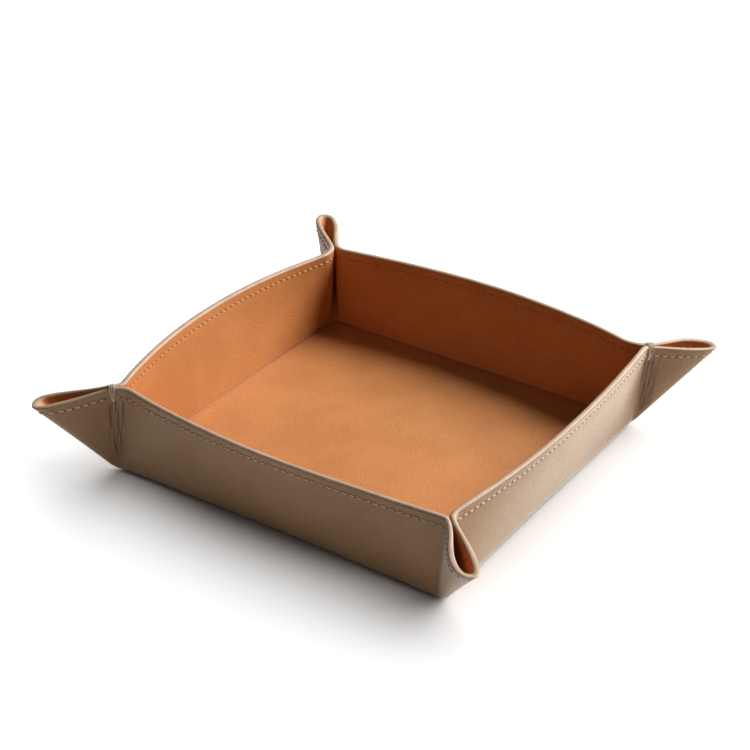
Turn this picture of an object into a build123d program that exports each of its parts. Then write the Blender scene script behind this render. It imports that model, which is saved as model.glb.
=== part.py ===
from build123d import *
import math
import os

# Valet tray: a square sheet of two bonded leathers, folded up into four walls.
# Each corner is pinched together and tacked with thread, and the spare leather
# stands out there as an ear. Millimetres, +Z up, origin at the middle of the
# underside. The front wall faces -Y, the right wall faces +X.

# Leathers, from outside to inside
outer_thickness = 1.5
lining_thickness = 1.5

# Floor and walls: half of the lining's flat floor, the lining's fold, the rim
base_half = 80.0
inner_fold_radius = 1.5
rim_height = 41.5
rim_lean = 8.3

# Pinched corners: where the two lining faces meet at the rim
pinch_lean = 3.0
pinch_half_gap = 0.15
neck_radius = 7.0

# Ears at the rim: length along the diagonal, drop of the tip, roundness inside
ear_length = 34.5
ear_drop = 2.5
ear_inner_radius = 3.0

# Foot of each ear, where it grows out of a corner of the base. The reaches
# tell how far it stands beyond the wall there, level by level up the fold.
foot_inner_radius = 1.0
foot_neck_radius = 4.0
foot_half_gap = 2.5
foot_reach_on_floor = -0.4
foot_reach_in_fold = 0.3
foot_reach_above_fold = 2.2

# Stiffener boards, let into the flesh side of the lining and glued to the outer leather
glue_line = 0.05
base_board_thickness = 0.8
base_board_margin = 3.0
wall_board_thickness = 0.6
wall_board_end_margin = 4.0
wall_board_foot_margin = 1.5
wall_board_top_margin = 8.0
board_corner_radius = 2.0

# Seam below the rim: one thread outside, one inside
stitch_pitch = 3.5
stitch_gap = 0.8
thread_diameter = 0.6
thread_clearance = 0.25
seam_drop = 4.0
seam_break_at_tack = 2.5
seam_step = 0.5

# Wrapped tacks over two pinches, blind tacks inside the other two
tack_thread_diameter = 0.8
tack_fan_angle = 10.0
tack_hole_drop = 8.0
tack_leg_clearance = 0.3
tack_hole_clearance = 0.2
blind_tack_drop = 6.0
blind_tack_clearance = 0.1

# Extra travel of every cutting shape
cut_overrun = 6.0

# Places that follow from the sizes
sandwich = outer_thickness + lining_thickness
fold_radius = sandwich + inner_fold_radius
wall_reach = base_half + sandwich
pinch_reach = base_half + pinch_lean
root_two = math.sqrt(2)
pinch_diagonal = pinch_reach * root_two
ear_tip_reach = pinch_reach + ear_length / root_two
quarter_turn = math.pi / 2
eighth_turn = math.pi / 4
wall_angles = {"back": 0, "left": 90, "front": 180, "right": 270}
wrapped_corners = {"back_right": 45, "front_left": 225}
blind_corners = {"back_left": 135, "front_right": 315}


# Places along half an outline: from the middle of a wall to its neck, round the
# neck, along the ear's side, and round the ear's end to its tip on the diagonal
wall_middle, neck_start, neck_end, ear_start, ear_tip = range(5)


class Level:
    """A level outline of the tray's outer face, drawn for the back wall"""

    def __init__(self, height, wall, neck_radius, half_gap, ear_reach, ear_radius, slope, pinch=None):
        self.height = height
        self.slope = slope
        self.neck_radius = neck_radius
        self.ear_radius = ear_radius
        self.straight = pinch is None
        offset = (neck_radius + sandwich + half_gap) / root_two
        if self.straight:
            pinch = wall + neck_radius - offset
        ear_centre = ear_reach - ear_radius / root_two
        self.neck = Vector(pinch - offset, pinch + offset)
        self.ear = Vector(ear_centre, ear_centre)
        span = self.ear - self.neck
        self.turn = math.atan2(span.Y, span.X) + math.asin((neck_radius + ear_radius) / span.length)
        self.lean = 0
        if not self.straight:
            self.lean = 2 * math.atan((wall - self.neck.Y + neck_radius) / self.neck.X)

    def neck_point(self, inset, heading):
        radius = self.neck_radius + inset
        return self.neck + Vector(math.sin(heading), -math.cos(heading)) * radius

    def ear_point(self, inset, heading):
        radius = self.ear_radius - inset
        return self.ear + Vector(-math.sin(heading), math.cos(heading)) * radius

    def wall_point(self, inset, share):
        end = self.neck_point(inset, -self.lean)
        if self.straight:
            return Vector(end.X * share, end.Y)
        radius = end.X / math.sin(self.lean)
        angle = self.lean * share
        rise = math.cos(angle) - math.cos(self.lean)
        return Vector(radius * math.sin(angle), end.Y + radius * rise)

    def point(self, depth, place):
        """The flat point at a place, a depth inside the outer face"""
        inset = depth * math.sin(self.slope)
        stretch = min(int(place), ear_start)
        share = place - stretch
        if stretch == wall_middle:
            return self.wall_point(inset, share)
        if stretch == neck_start:
            return self.neck_point(inset, (self.turn + self.lean) * share - self.lean)
        if stretch == neck_end:
            start = self.neck_point(inset, self.turn)
            return start + (self.ear_point(inset, self.turn) - start) * share
        return self.ear_point(inset, self.turn - (self.turn + eighth_turn) * share)

    def height_inside(self, depth):
        return self.height + depth * math.cos(self.slope)


def fold_level(slope, foot_reach):
    """The outline at a slope of the fold: 0 on the floor, a quarter turn where the wall starts"""
    wall = wall_reach - fold_radius * (1 - math.sin(slope))
    height = fold_radius * (1 - math.cos(slope))
    foot_radius = foot_inner_radius + sandwich
    return Level(height, wall, foot_neck_radius, foot_half_gap, wall + foot_reach, foot_radius, slope)


floor_level = fold_level(0, foot_reach_on_floor)
middle_fold_level = fold_level(eighth_turn, foot_reach_in_fold)
wall_level = fold_level(quarter_turn, foot_reach_above_fold)
rim_level = Level(
    rim_height,
    wall_reach + rim_lean,
    neck_radius,
    pinch_half_gap,
    ear_tip_reach,
    ear_inner_radius + sandwich,
    quarter_turn,
    pinch=pinch_reach,
)
levels = (floor_level, middle_fold_level, wall_level, rim_level)


def draw_outline(level, depth):
    """Draws a level's closed outline out of lines and arcs, wall by wall"""
    for angle in wall_angles.values():

        def spot(place, side):
            flat = level.point(depth, place)
            return Vector(flat.X * side, flat.Y).rotate(Axis.Z, angle)

        if level.straight:
            Line(spot(neck_start, -1), spot(neck_start, 1))
        else:
            ThreePointArc(spot(neck_start, -1), spot(wall_middle, 1), spot(neck_start, 1))
        for side in (-1, 1):
            neck_middle = spot((neck_start + neck_end) / 2, side)
            ear_shoulder = spot((ear_start + ear_tip) / 2, side)
            ThreePointArc(spot(neck_start, side), neck_middle, spot(neck_end, side))
            Line(spot(neck_end, side), spot(ear_start, side))
            ThreePointArc(spot(ear_start, side), ear_shoulder, spot(ear_tip, side))


def tray_block(depth, mode=Mode.ADD):
    """The tray filled up to its rim, a depth inside the outer face"""
    outlines = []
    for level in levels:
        with BuildSketch(Plane.XY.offset(level.height_inside(depth))) as outline:
            with BuildLine():
                draw_outline(level, depth)
            make_face()
        outlines.append(outline.sketch)
    loft(outlines, ruled=True, mode=mode)


def side_point(depth, place, height):
    """The point of a side wall at a place and height, on the straight line up the leather"""
    share = (height - wall_level.height) / (rim_level.height - wall_level.height)
    low = wall_level.point(depth, place)
    high = rim_level.point(depth, place)
    flat = low + (high - low) * share
    return Vector(flat.X, flat.Y, height)


def from_diagonal(point):
    return (point.Y - point.X) / root_two


def past_pinch(point):
    """How far a point lies out along the diagonal, counted from the pinch"""
    return (point.X + point.Y) / root_two - pinch_diagonal


def rim_drop(point):
    """How far the rim has fallen at a point, from the pinch out along the ear"""
    return ear_drop * max(past_pinch(point), 0) / ear_length


def corner_plane(angle, height, tilt=0):
    """A plane across a pinch: its x runs along the wall of leather, its normal points out of the tray"""
    outward = Vector(1, 0, 0).rotate(Axis.Z, angle)
    across = Vector(0, 1, 0).rotate(Axis.Z, angle)
    spot = outward * pinch_diagonal + Vector(0, 0, height)
    return Plane(origin=spot, x_dir=across, z_dir=outward.rotate(Axis(spot, across), tilt))


neck_place = neck_start + (eighth_turn + rim_level.lean) / (rim_level.turn + rim_level.lean)
tack_height = rim_height - tack_hole_drop
blind_tack_height = rim_height - blind_tack_drop
tack_hole_radius = (tack_thread_diameter * root_two + tack_hole_clearance) / 2
blind_hole_radius = (tack_thread_diameter + tack_hole_clearance) / 2
neck_half_width = from_diagonal(side_point(0, neck_place, rim_height))
neck_half_width_low = from_diagonal(side_point(0, neck_place, tack_height))
blind_half_width = from_diagonal(side_point(outer_thickness, neck_place, blind_tack_height))


def trim_ears():
    """Cuts the rim of the ears down from the pinch to the tip"""
    reach = ear_length + cut_overrun
    fall = ear_drop * reach / ear_length
    for angle in (*wrapped_corners.values(), *blind_corners.values()):
        outward = Vector(1, 0, 0).rotate(Axis.Z, angle)
        across = Vector(0, -1, 0).rotate(Axis.Z, angle)
        pinch = outward * pinch_diagonal + Vector(0, 0, rim_height)
        with BuildSketch(Plane(origin=pinch, x_dir=outward, z_dir=across)) as wedge:
            with BuildLine():
                Polyline((0, 0), (reach, -fall), (reach, cut_overrun), (0, cut_overrun), close=True)
            make_face()
        extrude(wedge.sketch, amount=rim_level.ear_radius + cut_overrun, both=True, mode=Mode.SUBTRACT)


def pierce_pinch(angle, height, radius):
    """Drills across a pinch, through both sides of the leather"""
    plane = corner_plane(angle, height)
    length = 2 * (neck_half_width_low + cut_overrun)
    with Locations(Plane(origin=plane.origin, x_dir=plane.z_dir, z_dir=plane.x_dir)):
        Cylinder(radius, length, mode=Mode.SUBTRACT)


def base_layer(start, end):
    """The base board's outline, filled between two depths in from the outer face"""
    side = 2 * (wall_reach - fold_radius - base_board_margin)
    with BuildSketch(Plane.XY.offset(start)) as board_outline:
        RectangleRounded(side, side, board_corner_radius)
    extrude(board_outline.sketch, amount=end - start)


def wall_layer(start, end):
    """The back wall board's outline, filled between two depths in from the outer face"""
    foot = fold_radius + wall_board_foot_margin
    height = rim_height - wall_board_top_margin - foot
    length = 2 * (wall_level.neck.X - wall_board_end_margin)
    tray_block(start)
    tray_block(end, mode=Mode.SUBTRACT)
    with BuildSketch(Plane.XZ) as board_window:
        with Locations((0, foot + height / 2)):
            RectangleRounded(length, height, board_corner_radius)
    extrude(board_window.sketch, amount=-(ear_tip_reach + cut_overrun), mode=Mode.INTERSECT)


# Base board and its pocket
board_outer_face = outer_thickness + glue_line
base_board_inner_face = board_outer_face + base_board_thickness
with BuildPart() as base_board:
    base_layer(board_outer_face, base_board_inner_face)

with BuildPart() as base_pocket:
    base_layer(outer_thickness, base_board_inner_face)

# Wall boards and their pockets, all cut like those of the back wall
wall_board_inner_face = board_outer_face + wall_board_thickness
with BuildPart() as back_board:
    wall_layer(board_outer_face, wall_board_inner_face)

with BuildPart() as back_pocket:
    wall_layer(outer_thickness, wall_board_inner_face)

wall_boards = {wall: back_board.part.rotate(Axis.Z, angle) for wall, angle in wall_angles.items()}
wall_pockets = [back_pocket.part.rotate(Axis.Z, angle) for angle in wall_angles.values()]

# Outer leather
with BuildPart() as outer_leather:
    tray_block(0)
    tray_block(outer_thickness, mode=Mode.SUBTRACT)
    trim_ears()
    for angle in wrapped_corners.values():
        pierce_pinch(angle, tack_height, tack_hole_radius)

# Lining leather, with the pockets of the boards
with BuildPart() as lining_leather:
    tray_block(outer_thickness)
    tray_block(sandwich, mode=Mode.SUBTRACT)
    trim_ears()
    for angle in wrapped_corners.values():
        pierce_pinch(angle, tack_height, tack_hole_radius)
    for angle in blind_corners.values():
        pierce_pinch(angle, blind_tack_height, blind_hole_radius)
    add(base_pocket.part, mode=Mode.SUBTRACT)
    add(wall_pockets, mode=Mode.SUBTRACT)


def seam_spots(depth):
    """Middle and direction of each stitch from the middle of the back wall to the ear's tip"""
    length_guess = rim_level.neck.X + ear_length + neck_radius
    samples = int(ear_tip * length_guess / seam_step)
    path = []
    for number in range(samples + 1):
        place = ear_tip * number / samples
        drop = rim_drop(rim_level.point(depth, place))
        path.append(side_point(depth, place, rim_height - drop - seam_drop))
    travelled = [0.0]
    for start, end in zip(path, path[1:]):
        travelled.append(travelled[-1] + (end - start).length)

    def spot_at(distance):
        index = max(i for i, length in enumerate(travelled[:-1]) if length <= distance)
        share = (distance - travelled[index]) / (travelled[index + 1] - travelled[index])
        return path[index] + (path[index + 1] - path[index]) * share

    count = round(travelled[-1] / stitch_pitch)
    pitch = travelled[-1] / count
    spots = []
    for number in range(count):
        start = spot_at(number * pitch + stitch_gap / 2)
        end = spot_at((number + 1) * pitch - stitch_gap / 2)
        spots.append(((start + end) / 2, (end - start).normalized()))
    return spots


def stitch_places(depth):
    """Planes along every stitch of a seam thread, for all four walls"""
    planes = []
    for middle, direction in seam_spots(depth):
        squeezed = from_diagonal(middle) < thread_diameter
        under_tack = abs(past_pinch(middle)) < seam_break_at_tack
        if squeezed or under_tack:
            continue
        for side in (-1, 1):
            for angle in wall_angles.values():
                spot = Vector(middle.X * side, middle.Y, middle.Z).rotate(Axis.Z, angle)
                way = Vector(direction.X * side, direction.Y, direction.Z).rotate(Axis.Z, angle)
                planes.append(Plane(origin=spot, z_dir=way))
    return planes


# Seam threads
stitch_length = stitch_pitch - stitch_gap
thread_offset = thread_diameter / 2 + thread_clearance
with BuildPart() as needle_thread:
    with Locations(*stitch_places(-thread_offset)):
        Cylinder(thread_diameter / 2, stitch_length)

with BuildPart() as bobbin_thread:
    with Locations(*stitch_places(sandwich + thread_offset)):
        Cylinder(thread_diameter / 2, stitch_length)

# Wrapped tacks: wraps of thread through one hole, fanned out over the rim
tacks = {}
inner_bottom = tack_thread_diameter / 2
inner_top = tack_hole_drop + tack_leg_clearance
inner_low = neck_half_width_low + tack_leg_clearance
inner_high = neck_half_width + tack_leg_clearance
for corner, angle in wrapped_corners.items():
    with BuildPart() as wrapped_tack:
        for tilt in (-tack_fan_angle, 0, tack_fan_angle):
            with BuildSketch(corner_plane(angle, tack_height, tilt)) as wrap:
                with BuildLine():
                    Polyline(
                        (-inner_low, inner_bottom),
                        (-inner_high, inner_top),
                        (inner_high, inner_top),
                        (inner_low, inner_bottom),
                        close=True,
                    )
                inside = make_face()
                offset(amount=tack_thread_diameter, kind=Kind.ARC)
                add(inside, mode=Mode.SUBTRACT)
            extrude(wrap.sketch, amount=tack_thread_diameter / 2, both=True)
    tacks["corner_tack_" + corner] = wrapped_tack.part

# Blind tacks: short thread bars through the lining alone
for corner, angle in blind_corners.items():
    plane = corner_plane(angle, blind_tack_height)
    with BuildPart() as blind_tack:
        with Locations(Plane(origin=plane.origin, x_dir=plane.z_dir, z_dir=plane.x_dir)):
            Cylinder(tack_thread_diameter / 2, 2 * (blind_half_width - blind_tack_clearance))
    tacks["blind_tack_" + corner] = blind_tack.part

# Files
pieces = {
    "outer_leather": outer_leather.part,
    "lining_leather": lining_leather.part,
    "base_board": base_board.part,
    "needle_thread": needle_thread.part,
    "bobbin_thread": bobbin_thread.part,
}
for wall, board in wall_boards.items():
    pieces["wall_board_" + wall] = board
pieces.update(tacks)

os.makedirs("parts", exist_ok=True)
for name, piece in pieces.items():
    piece.label = name
    export_step(piece, f"parts/{name}.step")
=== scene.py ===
import math

import bpy
import numpy as np
from mathutils import Matrix, Vector


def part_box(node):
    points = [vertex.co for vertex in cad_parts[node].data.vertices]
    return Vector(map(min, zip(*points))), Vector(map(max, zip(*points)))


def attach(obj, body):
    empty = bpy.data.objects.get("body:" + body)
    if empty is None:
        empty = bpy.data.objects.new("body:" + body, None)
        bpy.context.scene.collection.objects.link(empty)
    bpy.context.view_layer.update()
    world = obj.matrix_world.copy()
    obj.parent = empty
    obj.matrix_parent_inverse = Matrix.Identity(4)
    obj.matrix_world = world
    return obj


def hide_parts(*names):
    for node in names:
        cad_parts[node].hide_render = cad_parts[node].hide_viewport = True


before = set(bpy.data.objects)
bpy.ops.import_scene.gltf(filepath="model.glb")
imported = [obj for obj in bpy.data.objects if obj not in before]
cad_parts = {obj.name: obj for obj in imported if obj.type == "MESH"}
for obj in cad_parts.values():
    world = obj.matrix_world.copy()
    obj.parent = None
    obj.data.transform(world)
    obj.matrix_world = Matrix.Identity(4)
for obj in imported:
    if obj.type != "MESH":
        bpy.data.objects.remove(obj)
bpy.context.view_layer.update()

# Valet tray: one sheet of two bonded leathers, folded up and pinched at its corners.
# Sizes in metres. The front wall faces -Y, the right wall +X. A column is a line up
# the leather from the floor to the rim. The columns run once round the tray, seen from
# above against the clock. A point of the leather is named by its column, its depth
# inside the outer face, and its drop below the rim.

mm = 0.001
root_two = math.sqrt(2)
full_turn = 2 * math.pi

# Sheet
outer_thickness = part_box("lining_leather")[0].z
lining_thickness = 1.5 * mm
sheet = outer_thickness + lining_thickness
glue_line = 0.05 * mm

# Lip: how far down its rounding reaches, how square it is, and how the sheet thins towards it
lip_roundness = 1.0 * mm
lip_fullness = 2.2
thinning = 0.13
thinning_reach = 5.0 * mm

# Floor: where the faces of floor and wall would meet, and how far from there the fold begins
outer_corner = 81.75 * mm
inner_corner = 80.0 * mm
outer_fold = 4.4 * mm
inner_fold = 1.2 * mm
crease_depth = 0.2 * mm

# Corners of the base: where the curve to the ear's foot begins, how blunt it is, how far
# from there the fold begins, how much further out the wall's foot stands there than in the
# wall's middle, and how much nearer the lining's foot is
outer_foot = {"start": 4.5 * mm, "blunt": 1.4 * mm, "fold": 6.5 * mm, "flare": 1.0 * mm}
inner_foot = {"start": 3.5 * mm, "blunt": 0.9 * mm, "fold": 1.5 * mm, "flare": 0.0 * mm}
foot_step = 1.7 * mm
foot_shares = (0, 0.35, 0.68, 1)
foot_straightness = 0.72

# Rim: height and reach at the middle of each wall, which bow out unlike, how late the rim's
# height turns to that of the pinch, how far the lining keeps from the pinch's middle, and how
# the ear's end is rounded
rim_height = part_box("outer_leather")[1].z
middle_drop = 0.05 * mm
rim_steepness = 3
wall_reach = {"back": 93.3 * mm, "left": 94.3 * mm, "front": 89.8 * mm, "right": 90.5 * mm}
pinch_clearance = 0.03 * mm
ear_nose = 3.3 * mm
ear_bluntness = 2.4

# Pinched corners: reach of the ear's foot, radius of the rim's neck on each wall, how much
# thinner the sheet is pressed in the pinch, reach and height of the pinch and of the ear's
# tip, how far the tip stands towards the front or back wall, how far the ear's rim and its
# ridge sag between their ends, where the ear is widest, and half its width there towards
# each wall
corner_shape = {
    "back_right": {
        "foot": 80.9 * mm, "neck": {"back": 12.0 * mm, "right": 4.5 * mm}, "press": 0.6 * mm,
        "pinch": 85.4 * mm, "pinch_height": 40.5 * mm, "tip": 107.8 * mm, "tip_height": 37.9 * mm,
        "shift": -0.3 * mm, "dip": 0.0 * mm, "sag": -0.2 * mm, "widest": 0.6,
        "back": 7.1 * mm, "right": 4.5 * mm,
    },
    "back_left": {
        "foot": 80.4 * mm, "neck": {"back": 5.5 * mm, "left": 10.0 * mm}, "press": 0.3 * mm,
        "pinch": 83.6 * mm, "pinch_height": 42.3 * mm, "tip": 106.3 * mm, "tip_height": 43.6 * mm,
        "shift": 0.9 * mm, "dip": 0.0 * mm, "sag": 0.5 * mm, "widest": 0.68,
        "back": 5.5 * mm, "left": 5.2 * mm,
    },
    "front_left": {
        "foot": 81.9 * mm, "neck": {"front": 8.0 * mm, "left": 5.0 * mm}, "press": 1.0 * mm,
        "pinch": 82.5 * mm, "pinch_height": 41.6 * mm, "tip": 106.6 * mm, "tip_height": 35.5 * mm,
        "shift": 0.3 * mm, "dip": 0.5 * mm, "sag": 0.4 * mm, "widest": 0.78,
        "front": 3.8 * mm, "left": 7.1 * mm,
    },
    "front_right": {
        "foot": 80.8 * mm, "neck": {"front": 3.5 * mm, "right": 7.5 * mm}, "press": 0.8 * mm,
        "pinch": 84.6 * mm, "pinch_height": 41.0 * mm, "tip": 110.6 * mm, "tip_height": 40.6 * mm,
        "shift": 0.8 * mm, "dip": 0.0 * mm, "sag": 0.5 * mm, "widest": 0.68,
        "front": 6.3 * mm, "right": 4.3 * mm,
    },
}

# Walls in the order of the columns: quarter turns about +Z, corner where it starts, and ends
walls = {
    "back": (0, "back_right", "back_left"),
    "left": (1, "back_left", "front_left"),
    "front": (2, "front_left", "front_right"),
    "right": (3, "front_right", "back_right"),
}
long_walls = ("front", "back")
wrapped_corners = ("back_right", "front_left")

# Unevenness of hand-folded leather: size of the walls' belly and of the rim's waves, how many
# times each wave turns round the tray, over how many columns the belly fades towards the
# neck, and what makes the waves' sizes and starts unlike
belly = 0.35 * mm
belly_turns = (5, 7, 9, 13)
belly_fade = 25
rim_wave = 0.12 * mm
rim_wave_turns = (11, 17, 23, 31)
wave_size_step = 7.3
wave_start_step = 2.1

# Boards in the walls and their pockets. They end some columns before the neck. The span is
# the length that a board is taken to have where its corners are drawn in.
board_thickness = 0.6 * mm
board_top_drop = 8.0 * mm
board_foot_margin = 1.5 * mm
board_corner = 2.0 * mm
board_corner_points = 5
board_span = 140 * mm
board_columns = 61
board_end_columns = 8
pocket_margin = 0.3 * mm
pocket_end_columns = 5

# Seam: its stitches, and the dent along it, of which one share stays even and the other comes
# and goes with the stitches. The tacks cover a length of the seam outside. Inside, the pinches
# are too tight for stitches over a length.
stitch_pitch = 3.5 * mm
seam_drop = 4.0 * mm
seam_dent = 0.12 * mm
seam_dent_width = 0.7 * mm
seam_dent_shares = (0.7, 0.3)
thread_radius = 0.28 * mm
stitch_slant = 0.2 * mm
stitch_sink = 0.6 * mm
stitch_rise = 0.2 * mm
stitch_share = 0.56
stitch_squareness = 3
stitch_points = 9
tube_sides = 8
tack_cover = 1.5 * mm
tight_length = 3 * mm

# Tacks over two pinches: drop of their holes, and how far past the pinch their strands cross
# the lip
tack_hole_drop = 6.5 * mm
tack_hole_spacing = 0.16 * mm
tack_thread_radius = 0.19 * mm
tack_crossings = {
    "back_right": (-1.5 * mm, -0.7 * mm, 0.2 * mm, 1.2 * mm),
    "front_left": (-1.1 * mm, -0.4 * mm, 0.4 * mm, 1.1 * mm),
}

# A tack's strand: points of a flank and of the crest, and how often its corners are eased. As
# shares: the drop of a flank's top and the height of the crest, of the lip's rounding; how high
# it lies and how much deeper it starts, of its radius; and how far up the flank its hole shows.
# The smaller the power, the flatter the crest.
tack_flank_points = 16
tack_crest_points = 9
tack_easings = 3
tack_top_share = 0.3
tack_crest_share = 0.9
tack_crest_power = 0.3
tack_lift_share = 0.75
tack_sink_share = 2.6
tack_hole_share = 0.06

# Wrinkles beside those pinches: how far past the pinch they lie, how wide and deep they are,
# and how they drift, draw together and wobble down the wall
wrinkle_places = {
    "back_right": np.array([-3.6, -2.8, -2.0, -1.3, -0.6, 0.2, 0.9, 1.7, 2.7]) * mm,
    "front_left": np.array([-5.4, -4.3, -3.1, -2.1, -1.2, -0.2, 0.9]) * mm,
}
wrinkle_width = 0.27 * mm
wrinkle_drift = {"back_right": 6.0 * mm, "front_left": 3.5 * mm}
wrinkle_narrowing = 0.7
wrinkle_wobble = 0.35 * mm
wrinkle_depth = 0.42 * mm

# Where down the wall the wrinkles begin and end, and over what share they grow and fade. Each
# bend of a wrinkle has a size, an angle down the wall and one from a wrinkle to the next, and
# so has the change of its depth.
wrinkle_start_share, wrinkle_growth_share = 0.1, 0.12
wrinkle_end_share, wrinkle_fading_share = 1.02, 0.25
wrinkle_bends = ((1, 9, 2.3), (0.5, 23, 1.1))
wrinkle_change = (0.25, 7, 5.1)

# Columns of half a wall: along the wall, round the neck, along the ear, round its end. They
# stand closer at the neck. Near the pinch, over its spread, the lip doesn't thin the sheet.
wall_columns = 92
neck_columns = 40
side_columns = 33
end_columns = 16
wall_grading = 0.6
side_grading = 0.65
pinch_spread = 14
pinch_beyond = wall_columns + neck_columns
half_count = pinch_beyond + side_columns + end_columns - 1

# Rows below the rim, then down to the fold, round the fold and round half of the lip, the
# floor's rings as shares of its edge, and the bonded face's rows in the pocket and the fold
rim_drops = mm * np.array(
    [0.7, 1.1, 1.5, 2.1, 2.7, 3.1, 3.4, 3.7, 4, 4.3, 4.6, 4.9, 5.3, 5.9, 6.4, 6.9, 7.6, 8.6, 10, 12]
)
wall_rows = 16
fold_rows = 9
lip_rows = 5
floor_shares = (0.985, 0.9, 0.7, 0.4)
pocket_shares = (0, 0.33, 0.67, 1)
bond_fold_shares = (0.5, 1)

# Step for measuring a slope, and a drop for points that lie far from the seam's holes
slope_step = 0.2 * mm
far_drop = 1.0


def smooth(share):
    """From 0 to 1 with level ends"""
    share = np.clip(share, 0, 1)
    return share * share * (3 - 2 * share)


def raised(flat, height):
    """Flat points, set at a height"""
    return np.column_stack([flat, np.broadcast_to(height, len(flat))])


def heading_point(middle, radius, heading):
    """Points of a circle, seen from above, by its heading: 0 along the wall, more towards the ear"""
    return middle + np.stack([np.sin(heading), -np.cos(heading)], 1) * radius


def rim_outline(wall, corner, depth):
    """Half a wall's rim from above, the wall at +Y, and how far past the pinch it is, from 0 to 1"""
    shape = corner_shape[corner]
    neck_radius = shape["neck"][wall]
    along, across = np.array([1, 1]) / root_two, np.array([-1, 1]) / root_two
    pinch = shape["pinch"] * root_two
    pressed = sheet - shape["press"]
    middle = pinch * along + (pressed + neck_radius) * across
    lean = 2 * math.atan((wall_reach[wall] - middle[1] + neck_radius) / middle[0])
    radius = neck_radius + depth
    wall_end = heading_point(middle, radius, np.array([-lean]))[0]
    bow = wall_end[0] / math.sin(lean)
    place = np.arange(wall_columns) / wall_columns
    angle = lean * place * (1 + wall_grading - wall_grading * place)
    bowed = np.stack([bow * np.sin(angle), wall_end[1] + bow * (np.cos(angle) - math.cos(lean))], 1)
    neck_heading = -lean + (math.pi / 4 + lean) * np.arange(neck_columns) / neck_columns
    neck = heading_point(middle, radius, neck_heading)
    neck = neck + np.clip(pinch_clearance - neck @ across, 0, None)[:, None] * across
    ear_length = shape["tip"] * root_two - pinch
    length = ear_length - ear_nose * depth / sheet
    peak = ear_length * shape["widest"]
    gap = max(pressed - depth, pinch_clearance)
    width = shape[wall] - depth
    place = np.arange(side_columns) / side_columns
    place = place * (1 - side_grading + side_grading * place)
    turn = np.linspace(math.pi / 2, 0, end_columns)
    power = 2 / ear_bluntness
    reach = np.concatenate([peak * place, peak + (length - peak) * np.abs(np.cos(turn)) ** power])
    spread = np.concatenate([gap + (width - gap) * smooth(place), width * np.sin(turn) ** power])
    sign = 1 if wall in long_walls else -1
    spread = spread + sign * shape["shift"] * smooth(reach / ear_length)
    ear = (pinch + reach)[:, None] * along + spread[:, None] * across
    past = np.concatenate([np.zeros(pinch_beyond), reach / ear_length])
    return np.concatenate([bowed, neck, ear]), past


def foot_outline(corner_reach, foot_reach, foot):
    """Half a wall's lower edge from above, with the wall at +Y: straight, then a curve to the ear's foot"""
    start = corner_reach - foot["start"]
    place = np.arange(wall_columns) / wall_columns
    place = place * (1 + wall_grading - wall_grading * place)
    straight = np.stack([start * place, corner_reach + foot["flare"] * place**2], 1)
    end_reach = corner_reach + foot["flare"]
    counts = np.cumsum((0, neck_columns, side_columns, end_columns - 1))
    share = np.interp(np.arange(counts[-1] + 1), counts, foot_shares)[:, None]
    knots = (
        (start, end_reach),
        (corner_reach - foot["start"] * foot_straightness, end_reach),
        (foot_reach - foot["blunt"], foot_reach + foot["blunt"]),
        (foot_reach, foot_reach),
    )
    weights = ((1 - share) ** 3, 3 * share * (1 - share) ** 2, 3 * share**2 * (1 - share), share**3)
    curve = sum(weight * np.array(knot) for weight, knot in zip(weights, knots))
    return np.concatenate([straight, curve])


def half_wall(wall, corner):
    """Half a wall's columns on both faces: at the rim, the corner with the floor, and the floor"""
    shape = corner_shape[corner]
    outer, past = rim_outline(wall, corner, 0)
    wall_share = np.clip(np.arange(len(past)) / pinch_beyond, 0, 1)
    middle_height = rim_height - middle_drop
    height = middle_height + (shape["pinch_height"] - middle_height) * wall_share**rim_steepness
    ear_rise = (shape["tip_height"] - shape["pinch_height"]) * past
    height = height + ear_rise - shape["dip"] * np.sin(math.pi * past)
    corner_share = smooth((np.arange(len(past)) - pinch_beyond) / (half_count - pinch_beyond))
    heading = corner_share * math.pi / 4
    inward = -np.stack([np.sin(heading), np.cos(heading)], 1)
    from_pinch = (np.arange(len(past)) - pinch_beyond) / pinch_spread
    columns = {
        "sag": (shape["sag"] * smooth(past))[:, None],
        "thinning": thinning * (1 - np.exp(-(from_pinch**2)))[:, None],
    }
    for face, depth, reach, fold, foot in (
        ("outer", 0, outer_corner, outer_fold, outer_foot),
        ("inner", sheet, inner_corner, inner_fold, inner_foot),
    ):
        low = foot_outline(reach, shape["foot"] - foot_step * depth / sheet, foot)
        floor = low + inward * (fold + (foot["fold"] - fold) * corner_share)[:, None]
        columns[face + "_rim"] = raised(rim_outline(wall, corner, depth)[0], height)
        columns[face + "_corner"] = raised(low, depth)
        columns[face + "_floor"] = raised(floor, depth)
    return columns


def turned(points, quarters, side):
    """Points of a half wall at +Y, mirrored to a side and turned about +Z by quarter turns"""
    if points.shape[1] == 1:
        return points
    x, y, z = (points * (side, 1, 1)).T
    for _ in range(quarters):
        x, y = -y, x
    return np.column_stack([x, y, z])


def all_columns():
    """The columns of the whole tray, once round, and what lies at each"""
    parts = {}
    for wall, (quarters, start, end) in walls.items():
        first, second = half_wall(wall, start), half_wall(wall, end)
        for key in first:
            run = [turned(first[key], quarters, 1)[:0:-1], turned(second[key], quarters, -1)[:-1]]
            parts.setdefault(key, []).extend(run)
    return {key: np.concatenate(run) for key, run in parts.items()}


columns = all_columns()
column_count = len(columns["outer_rim"])
numbers = np.arange(column_count)
beyond_middle = np.abs(numbers % (2 * half_count) - half_count)
round_share = numbers / column_count


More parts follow.
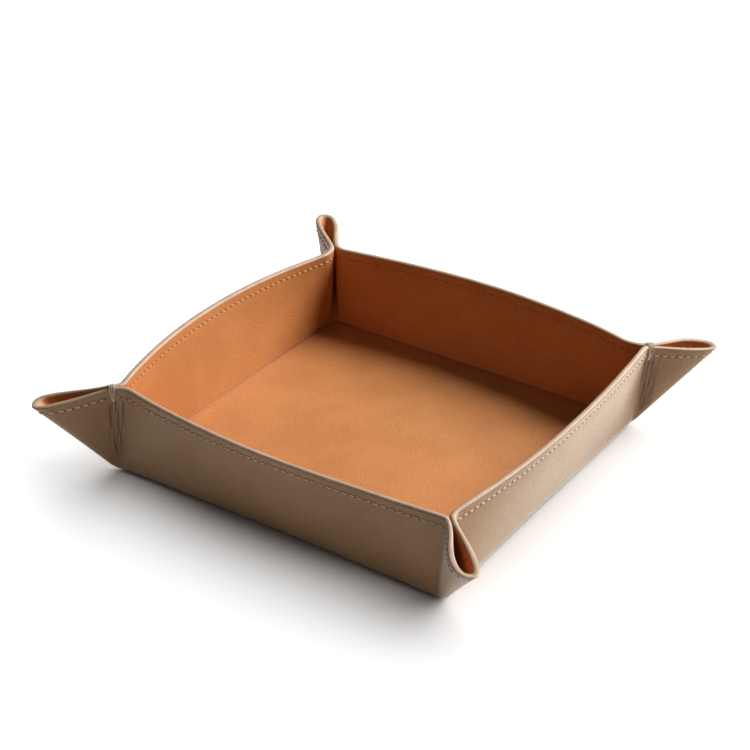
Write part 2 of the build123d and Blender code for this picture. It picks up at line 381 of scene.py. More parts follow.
def wave(turns):
    """A smooth uneven curve round the tray, from -1 to 1, made of a few waves"""
    total = np.zeros(column_count)
    for n in turns:
        size, start = math.sin(wave_size_step * n), wave_start_step * n * n
        total = total + size * np.sin(full_turn * n * round_share + start)
    return total / np.abs(total).max()


def outward():
    """Level direction out of the leather at each column"""
    ring = columns["outer_rim"]
    along = np.roll(ring, -1, 0) - np.roll(ring, 1, 0)
    away = np.column_stack([along[:, 1], -along[:, 0], np.zeros(len(ring))])
    return away / np.linalg.norm(away, axis=1)[:, None]


def outward_of_tray():
    """Level direction away from the tray's middle at each column"""
    ring = columns["outer_corner"] * (1, 1, 0)
    return ring / np.linalg.norm(ring, axis=1)[:, None]


columns["outward"] = outward()
columns["away"] = outward_of_tray()
free_of_pinch = smooth((wall_columns - beyond_middle) / belly_fade)
columns["belly"] = (belly * wave(belly_turns) * free_of_pinch)[:, None]
rim_lift = rim_wave * wave(rim_wave_turns)
for face in ("outer", "inner"):
    columns[face + "_rim"][:, 2] += rim_lift


def look_up(key, column):
    """A value at columns, which may be fractions"""
    table = columns[key]
    low = np.floor(column).astype(int)
    part = (np.asarray(column) - low)[..., None]
    return table[low % column_count] * (1 - part) + table[(low + 1) % column_count] * part


def at_depth(end, column, depth):
    """Points at an end of the columns, between the outer face and the lining's"""
    share = np.asarray(depth / sheet)[..., None]
    return look_up("outer_" + end, column) * (1 - share) + look_up("inner_" + end, column) * share


def sheet_point(column, depth, drop):
    """Points of the sheet: at columns, a depth in from the outer face, a drop below the rim"""
    thin = look_up("thinning", column)[..., 0]
    depth = depth * (1 - thin * np.exp(-((np.asarray(drop) / thinning_reach) ** 2)))
    top, low = at_depth("rim", column, depth), at_depth("corner", column, depth)
    down = low - top
    length = np.linalg.norm(down, axis=-1, keepdims=True)
    share = np.asarray(drop)[..., None] / length
    swell = 4 * share * (1 - share)
    return (
        top
        + down * share
        + look_up("outward", column) * look_up("belly", column) * swell
        - look_up("away", column) * look_up("sag", column) * swell
    )


def straight_length(column, depth):
    """Length of a column from the rim to where the fold begins"""
    top, low = at_depth("rim", column, depth), at_depth("corner", column, depth)
    fold = np.linalg.norm(at_depth("floor", column, depth) - low, axis=-1)
    return np.linalg.norm(top - low, axis=-1) - fold


def fold_point(column, depth, share):
    """Points round the fold, from the wall at share 0 to the floor at share 1"""
    low, floor = at_depth("corner", column, depth), at_depth("floor", column, depth)
    start = sheet_point(column, depth, straight_length(column, depth))
    up, flat = start - low, floor - low
    cosine = (up * flat).sum(-1) / np.linalg.norm(up, axis=-1) / np.linalg.norm(flat, axis=-1)
    weight = np.sqrt((1 - cosine) / 2)[..., None]
    parts = (1 - share) ** 2, 2 * weight * share * (1 - share), share**2
    return (start * parts[0] + low * parts[1] + floor * parts[2]) / sum(parts)


def surface_normal(column, depth, drop):
    """Unit normals out of the outer face"""
    along = sheet_point(column + 0.5, depth, drop) - sheet_point(column - 0.5, depth, drop)
    upper, lower = (sheet_point(column, depth, drop + step) for step in (-slope_step, slope_step))
    away = np.cross(lower - upper, along)
    return away / np.linalg.norm(away, axis=-1, keepdims=True)


# Stitches: a whole number of them round the tray, counted along the columns
seam_path = sheet_point(numbers, sheet / 2, seam_drop)
seam_steps = np.linalg.norm(np.roll(seam_path, -1, 0) - seam_path, axis=1)
stitch_count = round(seam_steps.sum() / stitch_pitch)
stitch_count_pitch = seam_steps.sum() / stitch_count
stitch_at_column = np.concatenate([[0], np.cumsum(seam_steps)]) / seam_steps.sum() * stitch_count


def seam_column(stitch):
    """The column at a count of stitches"""
    return np.interp(stitch, stitch_at_column, np.arange(column_count + 1))


def stitches_to(column):
    """The count of stitches at a column"""
    return np.interp(column, np.arange(column_count + 1), stitch_at_column)


def length_past(column, start):
    """Length along the seam from one column to another, the short way round"""
    half = stitch_count / 2
    return ((stitches_to(column) - stitches_to(start) + half) % stitch_count - half) * stitch_count_pitch


def column_past(start, length):
    """The column at a length along the seam from another"""
    return seam_column(stitches_to(start) + length / stitch_count_pitch)


def pinch_column(corner, wall):
    """The column of a corner's pinch on the side of one wall"""
    order = list(walls)
    middle = (2 * order.index(wall) + 1) * half_count - 1
    return middle + (pinch_beyond if walls[wall][2] == corner else -pinch_beyond)


def corner_walls(corner):
    """The wall that ends at a corner and the one that starts there"""
    ending = next(wall for wall, ends in walls.items() if ends[2] == corner)
    starting = next(wall for wall, ends in walls.items() if ends[1] == corner)
    return ending, starting


def lip_profile(swell, angles):
    """Depth and drop round the lip, from the outer face at angle 0 to the lining at half a turn"""
    half = sheet / 2
    across, up = np.cos(angles), np.sin(angles)
    power = 2 / lip_fullness
    depth = half - (half + swell) * np.sign(across) * np.abs(across) ** power
    drop = lip_roundness - (lip_roundness + swell) * np.abs(up) ** power
    return depth, drop


def new_object(name, data):
    """An object in the scene"""
    made = bpy.data.objects.new(name, data)
    bpy.context.scene.collection.objects.link(made)
    return made


def smooth_piece(name, points, faces, map_name, map_places):
    """A smoothly shaded piece, with a map that its material reads at the corners of its faces"""
    mesh = bpy.data.meshes.new(name)
    mesh.from_pydata(np.array(points).tolist(), [], faces)
    layer = mesh.uv_layers.new(name=map_name)
    layer.data.foreach_set("uv", np.array(map_places, float).ravel())
    mesh.polygons.foreach_set("use_smooth", [True] * len(faces))
    mesh.update()
    return new_object(name, mesh)


def mesh_from_rings(name, rings, looped=False):
    """A mesh of rings, each joined to the next, which may have half or twice its points. It ends in
    two flat caps, or if looped, the last ring is joined to the first. Its map gives the stitch
    count and the drop, and only rings with a point at each column have a count other than 0"""
    starts = np.concatenate([[0], np.cumsum([len(ring["points"]) for ring in rings])])
    points = np.concatenate([ring["points"] for ring in rings])
    drops = np.concatenate([ring["drop"] for ring in rings])
    creases = np.concatenate([ring.get("crease", np.zeros(len(ring["points"]))) for ring in rings])
    faces, face_columns = [], []

    def join_half(many_start, few_start, few, inwards):
        """Joins a ring to one with half its points"""
        many = 2 * few
        for k in range(few):
            outer = [many_start + 2 * k, many_start + 2 * k + 1, many_start + (2 * k + 2) % many]
            face = outer + [few_start + (k + 1) % few, few_start + k]
            faces.append(face if inwards else face[::-1])
            face_columns.append([0] * 5)

    for row in range(len(rings) - (not looped)):
        after_row = (row + 1) % len(rings)
        count, following = len(rings[row]["points"]), len(rings[after_row]["points"])
        here, there = starts[row], starts[after_row]
        if count == following:
            k = np.arange(count)
            after = (k + 1) % count
            faces.extend(np.column_stack([here + k, here + after, there + after, there + k]).tolist())
            first, last = (k, k + 1) if count == column_count else (k * 0, k * 0)
            face_columns.extend(np.column_stack([first, last, last, first]).tolist())
        elif count > following:
            join_half(here, there, following, True)
        else:
            join_half(there, here, count, False)
    if not looped:
        low_cap, high_cap = len(rings[0]["points"]), len(rings[-1]["points"])
        faces.append(list(range(low_cap))[::-1])
        faces.append([int(starts[-2]) + k for k in range(high_cap)])
        face_columns.extend([[0] * low_cap, [0] * high_cap])
    across = stitch_at_column[np.concatenate(face_columns)]
    down = drops[np.concatenate(faces)] / stitch_pitch
    piece = smooth_piece(name, points, faces, "seam", np.column_stack([across, down]))
    # The crease share also sets the painted shade of wrinkles and folds in the leathers' materials
    crease = piece.data.attributes.new("crease", "FLOAT", "POINT")
    crease.data.foreach_set("value", creases)
    return piece


def plain_ring(points):
    """A ring that the seam's holes and the creases leave alone"""
    return {"points": points, "drop": np.full(len(points), far_drop)}


def sheet_ring(depth, drop):
    """A ring once round the sheet, at a depth and a drop that may vary along it"""
    depth, drop = (np.broadcast_to(value, column_count) for value in (depth, drop))
    return {"points": sheet_point(numbers, depth, drop), "drop": drop}


def floor_rings(edge):
    """Rings from the floor's edge towards its middle, each with half the points of the one before"""
    rings = []
    for share in floor_shares:
        edge = edge[::2]
        rings.append(plain_ring(edge * (share, share, 1)))
    return rings


def seam_groove(drop):
    """Depth of the dent along the seam, on the outer face"""
    even, uneven = seam_dent_shares
    along = even + uneven * np.cos(full_turn * stitch_at_column[:-1])
    return seam_dent * along * np.exp(-(((drop - seam_drop) / seam_dent_width) ** 2))


def shallow_groove(drop):
    """Depth of the dent on the lining"""
    return seam_groove(drop) / 2


def wrinkles(drop, length):
    """Depth share of the wrinkles beside the wrapped pinches, from 0 to 1"""
    total = np.zeros(column_count)
    share = np.clip(drop / length, 0, 1)
    growth = smooth((share - wrinkle_start_share) / wrinkle_growth_share)
    strength = growth * smooth((wrinkle_end_share - share) / wrinkle_fading_share)
    change, change_down, change_step = wrinkle_change
    for corner in wrapped_corners:
        for wall, way in zip(corner_walls(corner), (1, -1)):
            pinch = pinch_column(corner, wall)
            past = length_past(numbers, pinch) * way
            for k, place in enumerate(wrinkle_places[corner]):
                bend = sum(size * np.sin(down * share + step * k) for size, down, step in wrinkle_bends)
                away = past * (1 - wrinkle_narrowing * share) - place
                away = away - wrinkle_drift[corner] * share - wrinkle_wobble * bend
                depth = 1 - change + change * np.sin(change_step * k + change_down * share)
                total += depth * np.exp(-((away / wrinkle_width) ** 2))
    return np.clip(total, 0, 1) * strength


def face_rings(depth, way, dent, wrinkled):
    """Rings of one face from the rim's rounding down to the edge of the floor"""
    length = straight_length(numbers, depth)
    rings = []
    shares = np.arange(1, wall_rows + 1) / wall_rows
    drops = [np.full(column_count, drop) for drop in rim_drops]
    drops += [rim_drops[-1] + (length - rim_drops[-1]) * share for share in shares]
    for drop in drops:
        crease = wrinkles(drop, length) if wrinkled else np.zeros(column_count)
        inward = dent(drop) + wrinkle_depth * crease
        dented = surface_normal(numbers, depth, drop) * (way * inward)[:, None]
        ring = sheet_point(numbers, depth, drop) - dented
        rings.append({"points": ring, "drop": drop, "crease": crease})
    for share in np.arange(1, fold_rows + 1) / fold_rows:
        crease = np.full(column_count, math.sin(math.pi * share) ** 2 if depth else 0.0)
        ring = fold_point(numbers, depth, share)
        low = look_up("outer_corner", numbers) - ring
        ring = ring + low / np.linalg.norm(low, axis=1)[:, None] * (crease_depth * crease)[:, None]
        rings.append({"points": ring, "drop": length + outer_fold * share, "crease": crease})
    return rings


def lip_rings(start, end):
    """Rings round a part of the lip, between two angles of its profile"""
    profile = lip_profile(0, np.linspace(start, end, lip_rows))
    return [sheet_ring(depth, drop) for depth, drop in zip(*profile)]


# Leathers
pocket_top_drop = board_top_drop - pocket_margin
pocket_foot_margin = board_foot_margin - pocket_margin
bond_length = straight_length(numbers, outer_thickness)
behind_board = beyond_middle < wall_columns - pocket_end_columns


def bond_rings(pocket):
    """The bonded face between the leathers from the rim to the floor's edge, with the boards' pockets"""
    drops = (lip_roundness, seam_drop, pocket_top_drop - pocket_margin)
    rows = [(np.full(column_count, drop), 0) for drop in drops]
    pocket_length = bond_length - pocket_foot_margin - pocket_top_drop
    for share in pocket_shares:
        rows.append((pocket_top_drop + pocket_length * share, pocket))
    rows.append((bond_length - pocket_foot_margin + pocket_margin, 0))
    rings = []
    for drop, extra in rows:
        depth = outer_thickness + np.where(behind_board, extra, 0)
        rings.append(plain_ring(sheet_point(numbers, depth, drop)))
    for share in bond_fold_shares:
        rings.append(plain_ring(fold_point(numbers, outer_thickness, share)))
    return rings


base_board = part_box("base_board")
base_lift = base_board[1].z + glue_line - outer_thickness
outer_face = face_rings(0, 1, seam_groove, True)
inner_face = face_rings(sheet, -1, shallow_groove, False)
outer_bond = bond_rings(0)
lining_bond = bond_rings(board_thickness + 2 * glue_line)
lining_edge = lining_bond[-1]["points"]
pocket_edge = (base_board[1].x + pocket_margin) / np.abs(lining_edge[:, :2]).max()
lining_floor = [plain_ring(lining_edge * (pocket_edge, pocket_edge, 1))]
lining_floor.append(plain_ring(lining_floor[0]["points"] + (0, 0, base_lift)))
lining_floor += floor_rings(lining_floor[1]["points"])
outer_leather = mesh_from_rings(
    "outer_leather_skin",
    floor_rings(outer_face[-1]["points"])[::-1]
    + outer_face[::-1]
    + lip_rings(0, math.pi / 2)[1:]
    + outer_bond
    + floor_rings(outer_bond[-1]["points"]),
)
lining_leather = mesh_from_rings(
    "lining_leather_skin",
    lining_floor[::-1]
    + lining_bond[::-1]
    + lip_rings(math.pi / 2, math.pi)
    + inner_face[1:]
    + floor_rings(inner_face[-1]["points"]),
)

# Edge paint over the lip, a closed ring that is let into the leather: how far it swells, how
# squarely, and how far it sinks in at its borders. These are angles of the lip's profile, and
# waver in waves round the tray.
paint_swell = 0.04 * mm
paint_sink = 0.05 * mm
paint_depth = 0.7 * mm
paint_borders = math.radians(24), math.radians(168)
paint_waver = math.radians(4)
paint_turns = ((41, 83, 131), (57, 170, 211))
paint_rows = 15
paint_fullness = 8


def edge_paint_ring():
    borders = zip(paint_borders, paint_turns)
    start, end = (border + paint_waver * wave(turns) for border, turns in borders)
    rings = []
    for share in np.linspace(0, 1, paint_rows):
        swell = paint_swell - (paint_swell + paint_sink) * abs(2 * share - 1) ** paint_fullness
        rings.append(sheet_ring(*lip_profile(swell, start + (end - start) * share)))
    rings += [sheet_ring(depth, paint_depth) for depth in (sheet - paint_depth, paint_depth)]
    return mesh_from_rings("edge_paint", rings, looped=True)


edge_paint = edge_paint_ring()


# Threads
def tubes(name, paths, radius):
    """One mesh of tubes along paths. Each path is its points and the directions away from the leather"""
    sides = tube_sides
    points, faces, turns = [], [], []
    for path, away in paths:
        way = np.gradient(path, axis=0)
        way /= np.linalg.norm(way, axis=1)[:, None]
        side = np.cross(way, away)
        side /= np.linalg.norm(side, axis=1)[:, None]
        top = np.cross(side, way)
        start = len(points)
        length = np.concatenate([[0], np.cumsum(np.linalg.norm(np.diff(path, axis=0), axis=1))])
        for k in range(len(path)):
            for n in range(sides):
                angle = full_turn * n / sides
                points.append(path[k] + radius * (math.cos(angle) * side[k] + math.sin(angle) * top[k]))
        for k in range(len(path) - 1):
            for n in range(sides):
                low = start + k * sides
                after = (n + 1) % sides
                faces.append([low + n, low + after, low + sides + after, low + sides + n])
                here, there = length[k] / radius, length[k + 1] / radius
                turns += [(here, n / sides), (here, (n + 1) / sides)]
                turns += [(there, (n + 1) / sides), (there, n / sides)]
        faces.append([start + n for n in range(sides)][::-1])
        faces.append([start + (len(path) - 1) * sides + n for n in range(sides)])
        turns += [(0, 0)] * (2 * sides)
    return smooth_piece(name, points, faces, "twist", turns)


def near_pinch(column, corners, length):
    """Whether a column is within a length of the pinches of some corners"""
    places = [pinch_column(corner, wall) for corner in corners for wall in corner_walls(corner)]
    return min(abs(length_past(column, place)) for place in places) < length


def seam_thread(name, depth, way, corners, length):
    """The stitches of one face. Within a length of the pinches of some corners they are left out"""
    paths = []
    place = np.linspace(-0.5, 0.5, stitch_points)
    for stitch in range(stitch_count):
        column = seam_column(stitch + 0.5 + stitch_share * place)
        drop = seam_drop + stitch_slant * 2 * place
        if near_pinch(column.mean(), corners, length):
            continue
        away = surface_normal(column, depth, drop) * way
        height = stitch_rise - (stitch_sink + stitch_rise) * np.abs(2 * place) ** stitch_squareness
        paths.append((sheet_point(column, depth, drop) + away * height[:, None], away))
    return tubes(name, paths, thread_radius)


needle_thread = seam_thread("needle_stitches", 0, 1, wrapped_corners, tack_cover)
bobbin_thread = seam_thread("bobbin_stitches", sheet, -1, corner_shape, tight_length)


def rounded_off(points, passes):
    """Points with their corners eased, the ends kept"""
    for _ in range(passes):
        eased = (points[:-2] + 2 * points[1:-1] + points[2:]) / 4
        points = np.concatenate([points[:1], eased, points[-1:]])
    return points


def tack(corner):
    """Strands from a hole under the pinch up over both lips and down to the hole on the other side"""
    crossings = tack_crossings[corner]
    strands = len(crossings)
    fan = np.linspace(0, 1, tack_flank_points)
    drops = tack_hole_drop + (lip_roundness * tack_top_share - tack_hole_drop) * fan
    sink = tack_sink_share * np.exp(-((fan / tack_hole_share) ** 2))
    lift = tack_thread_radius * (tack_lift_share - sink)
    arch = np.linspace(0, 1, tack_crest_points)[1:-1, None]
    crest_height = tack_crest_share * lip_roundness + tack_thread_radius
    paths = []
    for number, crossing in enumerate(crossings):
        hole = sum(crossings) / strands + (number - (strands - 1) / 2) * tack_hole_spacing
        flanks = []
        for wall, way in zip(corner_walls(corner), (1, -1)):
            column = column_past(pinch_column(corner, wall), way * (hole * (1 - fan) + crossing * fan))
            away = surface_normal(column, 0, drops)
            flanks.append(sheet_point(column, 0, drops) + away * lift[:, None])
        up, down = flanks[0], flanks[1][::-1]
        crest = up[-1] + (down[0] - up[-1]) * arch
        crest[:, 2] += crest_height * np.sin(math.pi * arch[:, 0]) ** tack_crest_power
        path = rounded_off(np.concatenate([up, crest, down]), tack_easings)
        middle = path.mean(0) * (1, 1, 0) + (0, 0, path[0, 2])
        away = path - middle
        paths.append((path, away / np.linalg.norm(away, axis=1)[:, None]))
    return tubes("corner_tack_thread_" + corner, paths, tack_thread_radius)


tacks = {corner: tack(corner) for corner in wrapped_corners}


# Boards in the walls
def border_of(grid):
    """The numbers round the border of a grid"""
    return np.concatenate([grid[0, :-1], grid[:-1, -1], grid[-1, :0:-1], grid[:0:-1, 0]])


def wall_board(wall):
    """A thin board between the leathers, bent as the wall is, with rounded corners"""
    quarter = np.linspace(0, math.pi / 2, board_corner_points)
    setbacks = board_corner * (1 - np.sin(quarter))
    rises = board_corner * (1 - np.cos(quarter))
    middle = pinch_column(walls[wall][2], wall) - pinch_beyond
    column = middle + np.linspace(-1, 1, board_columns) * (wall_columns - board_end_columns)
    top = np.full(board_columns, board_top_drop)
    foot = straight_length(column, outer_thickness) - board_foot_margin
    rows = [(top + rise, setback) for rise, setback in zip(rises, setbacks)]
    rows += [(foot - rise, setback) for rise, setback in zip(rises[::-1], setbacks[::-1])]
    points = []
    for depth in (outer_thickness + glue_line, outer_thickness + glue_line + board_thickness):
        for drop, setback in rows:
            place = middle + (column - middle) * (1 - setback / board_span)
            points.append(sheet_point(place, depth, drop))
    grids = np.arange(len(points) * board_columns).reshape(2, len(rows), board_columns)
    faces = []
    for grid, way in zip(grids, (-1, 1)):
        corners = grid[:-1, :-1], grid[:-1, 1:], grid[1:, 1:], grid[1:, :-1]
        faces += np.stack(corners, -1).reshape(-1, 4)[:, ::way].tolist()
    low, high = border_of(grids[0]), border_of(grids[1])
    faces += np.stack([low, np.roll(low, -1), np.roll(high, -1), high], -1).tolist()
    mesh = bpy.data.meshes.new("board_" + wall)
    mesh.from_pydata(np.concatenate(points).tolist(), [], faces)
    mesh.update()
    return new_object("stiffener_" + wall, mesh)


boards = {wall: wall_board(wall) for wall in walls}


# Materials
class Finish:
    """A material under the making of its nodes. A value for a node's input may be another node's output"""

    def __init__(self, name, **settings):
        self.material = bpy.data.materials.new(name)
        self.material.use_nodes = True
        self.tree = self.material.node_tree
        self.shader = self.tree.nodes["Principled BSDF"]
        for socket, value in settings.items():
            self.shader.inputs[socket.replace("_", " ")].default_value = value

    def node(self, kind, values, output=0, **settings):
        node = self.tree.nodes.new(kind)
        for setting, value in settings.items():
            setattr(node, setting, value)
        for socket, value in values.items():
            self.join(node.inputs[socket], value)
        return node.outputs[output]

    def join(self, socket, value):
        if isinstance(value, bpy.types.NodeSocket):
            self.tree.links.new(value, socket)
        else:
            socket.default_value = value

    def math(self, operation, *values):
        return self.node("ShaderNodeMath", dict(enumerate(values)), operation=operation)

    def scaled(self, value, low, high, new_low=0.0, new_high=1.0):
        values = {"Value": value, "From Min": low, "From Max": high, "To Min": new_low, "To Max": new_high}
        return self.node("ShaderNodeMapRange", values, interpolation_type="SMOOTHSTEP")

    def mix(self, share, first, second):
        first = (*first, 1) if isinstance(first, tuple) else first
        second = (*second, 1) if isinstance(second, tuple) else second
        return self.node("ShaderNodeMix", {0: share, 6: first, 7: second}, 2, data_type="RGBA")

    def place(self):
        return self.node("ShaderNodeTexCoord", {}, "Object")

    def noise(self, grain, detail=2.0, roughness=0.5):
        values = {"Vector": self.place(), "Scale": 1 / grain, "Detail": detail, "Roughness": roughness}
        return self.node("ShaderNodeTexNoise", values)

    def cells(self, size, feature="F1"):
        values = {"Vector": self.place(), "Scale": 1 / size, "Randomness": 1.0}
        return self.node("ShaderNodeTexVoronoi", values, "Distance", feature=feature)

    def bump(self, height, depth, below=None):
        values = {"Height": height, "Distance": depth, "Strength": 1.0}
        if below is not None:
            values["Normal"] = below
        return self.node("ShaderNodeBump", values)

    def uv(self, layer):
        pair = self.node("ShaderNodeUVMap", {}, uv_map=layer)
        return [self.node("ShaderNodeSeparateXYZ", {"Vector": pair}, axis) for axis in (0, 1)]

    def finish(self, color, roughness=None, normal=None):
        for socket, value in (("Base Color", color), ("Roughness", roughness), ("Normal", normal)):
            if value is not None:
                self.join(self.shader.inputs[socket], value)
        return self.material


def seam_holes(finish):
    """Share of a needle hole, 1 in its middle, from the stitch count and drop that the leathers carry"""
    along, down = finish.uv("seam")
    nearest = finish.math("SUBTRACT", finish.math("FRACT", finish.math("ADD", along, 0.5)), 0.5)
    below = finish.math("SUBTRACT", down, seam_drop / stitch_pitch)
    squared = finish.math("ADD", finish.math("POWER", nearest, 2.0), finish.math("POWER", below, 2.0))
    return finish.scaled(finish.math("SQRT", squared), 0.2, 0.1)


def outer_leather_finish():
    finish = Finish(
        "taupe_leather",
        Specular_IOR_Level=0.4,
        Sheen_Weight=0.7,
        Sheen_Roughness=0.3,
        Sheen_Tint=(1, 0.97, 0.86, 1),
    )
    cloudy = finish.noise(28 * mm, 3.0)
    fine = finish.noise(1.6 * mm, 3.0, 0.6)
    pores = finish.cells(0.55 * mm)
    color = finish.mix(finish.scaled(cloudy, 0.35, 0.65), (0.245, 0.127, 0.05), (0.28, 0.15, 0.062))
    color = finish.mix(finish.scaled(fine, 0.35, 0.7, 0.0, 0.35), color, (0.21, 0.1, 0.038))
    # Painted shade: the leather darkens in the wrinkles, by their depth share
    crease = finish.node("ShaderNodeAttribute", {}, "Fac", attribute_name="crease")
    color = finish.mix(finish.math("MULTIPLY", crease, 0.85), color, (0.11, 0.045, 0.015))
    hole = seam_holes(finish)
    # Painted shade: dark in the needle holes
    color = finish.mix(finish.math("MULTIPLY", hole, 0.42), color, (0.035, 0.022, 0.016))
    roughness = finish.scaled(fine, 0.3, 0.7, 0.42, 0.54)
    grain = finish.bump(finish.scaled(pores, 0.0, 0.7), 0.035 * mm)
    grain = finish.bump(fine, 0.08 * mm, grain)
    grain = finish.bump(finish.math("SUBTRACT", 1.0, hole), 0.22 * mm, grain)
    return finish.finish(color, roughness, grain)


def lining_leather_finish():
    finish = Finish("tan_leather", Specular_IOR_Level=0.4, Sheen_Weight=0.05, Sheen_Roughness=0.4)
    cloudy = finish.noise(24 * mm, 3.0)
    fine = finish.noise(1.1 * mm, 3.0, 0.6)
    pebbles = finish.cells(0.95 * mm, "SMOOTH_F1")
    valleys = finish.cells(0.95 * mm, "DISTANCE_TO_EDGE")
    color = finish.mix(finish.scaled(cloudy, 0.35, 0.65), (0.6, 0.234, 0.07), (0.665, 0.268, 0.084))
    # Painted shade: darker in the valleys between the grain's pebbles
    color = finish.mix(finish.scaled(valleys, 0.16, 0.0, 0.0, 0.35), color, (0.46, 0.16, 0.04))
    color = finish.mix(finish.scaled(fine, 0.4, 0.75, 0.0, 0.3), color, (0.5, 0.195, 0.05))
    # Painted shade: the lining darkens along the groove of the fold between floor and wall
    crease = finish.node("ShaderNodeAttribute", {}, "Fac", attribute_name="crease")
    color = finish.mix(finish.math("MULTIPLY", crease, 0.6), color, (0.26, 0.06, 0.014))
    hole = seam_holes(finish)
    # Painted shade: dark in the needle holes
    color = finish.mix(finish.math("MULTIPLY", hole, 0.1), color, (0.15, 0.035, 0.015))
    roughness = finish.scaled(pebbles, 0.1, 0.7, 0.38, 0.56)
    grain = finish.bump(finish.scaled(valleys, 0.0, 0.22), 0.05 * mm)
    grain = finish.bump(fine, 0.045 * mm, grain)
    grain = finish.bump(finish.math("SUBTRACT", 1.0, hole), 0.12 * mm, grain)
    return finish.finish(color, roughness, grain)


def edge_paint_finish():
    finish = Finish("edge_paint", Specular_IOR_Level=0.4)
    cloudy = finish.noise(7 * mm, 3.0)
    fine = finish.noise(0.7 * mm, 3.0, 0.6)
    color = finish.mix(finish.scaled(cloudy, 0.35, 0.65), (0.4, 0.275, 0.19), (0.46, 0.325, 0.225))
    color = finish.mix(finish.scaled(fine, 0.45, 0.75, 0.0, 0.3), color, (0.33, 0.21, 0.135))
    roughness = finish.scaled(fine, 0.3, 0.7, 0.5, 0.65)
    return finish.finish(color, roughness, finish.bump(fine, 0.08 * mm))


thread_plies = 3
thread_lay = 0.28


def thread_finish(name, pale, dark):
    """Thread of a few plies, which turn by a lay for each radius along it"""
    finish = Finish(name, Specular_IOR_Level=0.4, Sheen_Weight=0.25, Sheen_Roughness=0.4)
    along, around = finish.uv("twist")
    turned_by = finish.math("ADD", finish.math("MULTIPLY", along, thread_lay), around)
    ply = finish.math("SINE", finish.math("MULTIPLY", turned_by, full_turn * thread_plies))
    share = finish.scaled(ply, -1.0, 0.6)
    # Painted shade: dark in the grooves between the plies, where the bump is low
    color = finish.mix(share, dark, pale)
    fuzz = finish.noise(0.25 * mm, 2.0)
    color = finish.mix(finish.scaled(fuzz, 0.4, 0.8, 0.0, 0.25), color, dark)
    return finish.finish(color, finish.scaled(fuzz, 0.3, 0.7, 0.45, 0.6), finish.bump(share, 0.06 * mm))


def board_finish():
    finish = Finish("fibre_board", Specular_IOR_Level=0.3)
    speckle = finish.noise(0.9 * mm, 4.0, 0.7)
    color = finish.mix(finish.scaled(speckle, 0.35, 0.7), (0.33, 0.24, 0.16), (0.46, 0.36, 0.26))
    return finish.finish(color, finish.scaled(speckle, 0.3, 0.7, 0.7, 0.9), finish.bump(speckle, 0.1 * mm))


def studio_floor_finish():
    finish = Finish("studio_floor", Specular_IOR_Level=0.2)
    cloudy = finish.noise(0.6, 2.0)
    color = finish.mix(finish.scaled(cloudy, 0.3, 0.7), (0.9, 0.9, 0.9), (0.92, 0.92, 0.92))
    return finish.finish(color, finish.scaled(cloudy, 0.3, 0.7, 0.8, 0.85))


cream_thread = thread_finish("cream_thread", (0.76, 0.64, 0.48), (0.48, 0.37, 0.25))
tan_thread = thread_finish("tan_thread", (0.84, 0.47, 0.19), (0.6, 0.27, 0.09))
board_material = board_finish()


def dress(piece, material, slot, *replaced):
    """Gives a new piece its material, hangs it under the root body, and hides the parts that it replaces"""
    piece.data.materials.append(material)
    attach(piece, "root")
    if replaced:
        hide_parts(*replaced)


dress(outer_leather, outer_leather_finish(), "taupe_leather", "outer_leather")
dress(lining_leather, lining_leather_finish(), "tan_leather", "lining_leather")
dress(edge_paint, edge_paint_finish(), "taupe_leather")
dress(needle_thread, cream_thread, "cream_thread", "needle_thread")
dress(bobbin_thread, tan_thread, "tan_thread", "bobbin_thread")
for corner, strands in tacks.items():
    dress(strands, cream_thread, "cream_thread", "corner_tack_" + corner)
for wall, board in boards.items():
    dress(board, board_material, "board", "wall_board_" + wall)

# Solids that stay as they are, in the same materials
kept_solids = {
    "base_board": board_material,
    "blind_tack_back_left": tan_thread,
    "blind_tack_front_right": tan_thread,
}
for node, material in kept_solids.items():
    for place in bpy.data.objects[node].material_slots:
        place.material = material

# Studio: floor, light from all around, and three large soft lamps
ground_half = 4.0
ground_mesh = bpy.data.meshes.new("studio_floor")
ground_signs = ((-1, -1), (1, -1), (1, 1), (-1, 1))
ground_corners = [(x * ground_half, y * ground_half, 0) for x, y in ground_signs]
ground_mesh.from_pydata(ground_corners, [], [(0, 1, 2, 3)])
ground = new_object("studio_floor", ground_mesh)
ground_mesh.materials.append(studio_floor_finish())

world = bpy.data.worlds.new("studio")
bpy.context.scene.world = world
world.use_nodes = True
world.node_tree.nodes["Background"].inputs["Color"].default_value = (1, 1, 1, 1)
world.node_tree.nodes["Background"].inputs["Strength"].default_value = 0.07


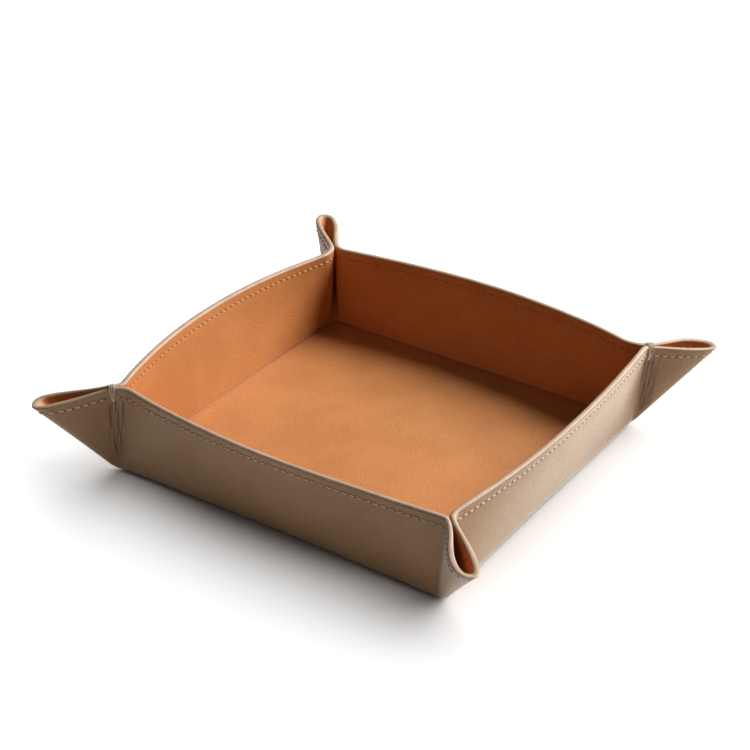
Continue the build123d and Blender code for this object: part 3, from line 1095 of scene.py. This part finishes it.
def lamp(name, way, distance, size, power, state, *things):
    """A round soft lamp, seen from the tray in a direction, for some things only or for all but some"""
    data = bpy.data.lights.new(name, "AREA")
    data.shape = "DISK"
    data.size = size
    data.energy = power
    light = new_object(name, data)
    direction = Vector(way).normalized()
    light.location = direction * distance
    light.rotation_euler = direction.to_track_quat("Z", "Y").to_euler()
    lit = bpy.data.collections.new(name + "_lit")
    for thing in things:
        lit.objects.link(thing)
    for member in lit.collection_objects:
        member.light_linking.link_state = state
    light.light_linking.receiver_collection = lit


# Each lamp: where it stands as seen from the tray, how far off, how wide, and its watts
outside = (outer_leather, edge_paint, needle_thread, *tacks.values())
lamp("key_light", (0.32, 0.73, 0.65), 1.5, 0.95, 38.5, "EXCLUDE", ground)
lamp("side_light", (0.66, 0.66, 0.4), 1.6, 0.9, 19, "INCLUDE", *outside)
lamp("ground_light", (0.183, 0.683, 0.707), 1.5, 4.28, 136, "INCLUDE", ground)

# Camera: angles in degrees, places in metres, the picture's own size in pixels
view_azimuth = 32.02
view_elevation = 29.86
view_roll = 1.90
view_distance = 804.75 * mm
view_target = Vector((-0.76 * mm, -0.43 * mm, 35.92 * mm))
picture_side = 750
focal_length_px = 1862.2
centre_px = (382.32, 375.48)


def make_camera():
    azimuth, elevation, roll = (math.radians(a) for a in (view_azimuth, view_elevation, view_roll))
    level = Vector((math.cos(azimuth), math.sin(azimuth), 0))
    back_x = math.sin(azimuth) * math.cos(elevation)
    back_y = -math.cos(azimuth) * math.cos(elevation)
    back = Vector((back_x, back_y, math.sin(elevation)))
    upright = back.cross(level)
    right = level * math.cos(roll) + upright * math.sin(roll)
    up = upright * math.cos(roll) - level * math.sin(roll)
    data = bpy.data.cameras.new("camera")
    data.lens = focal_length_px / picture_side * data.sensor_width
    data.shift_x = (picture_side / 2 - centre_px[0]) / picture_side
    data.shift_y = (centre_px[1] - picture_side / 2) / picture_side
    camera = new_object("camera", data)
    place = view_target + back * view_distance
    camera.matrix_world = Matrix.Translation(place) @ Matrix((right, up, back)).transposed().to_4x4()
    bpy.context.scene.camera = camera


make_camera()
bpy.context.scene.view_settings.view_transform = "Standard"
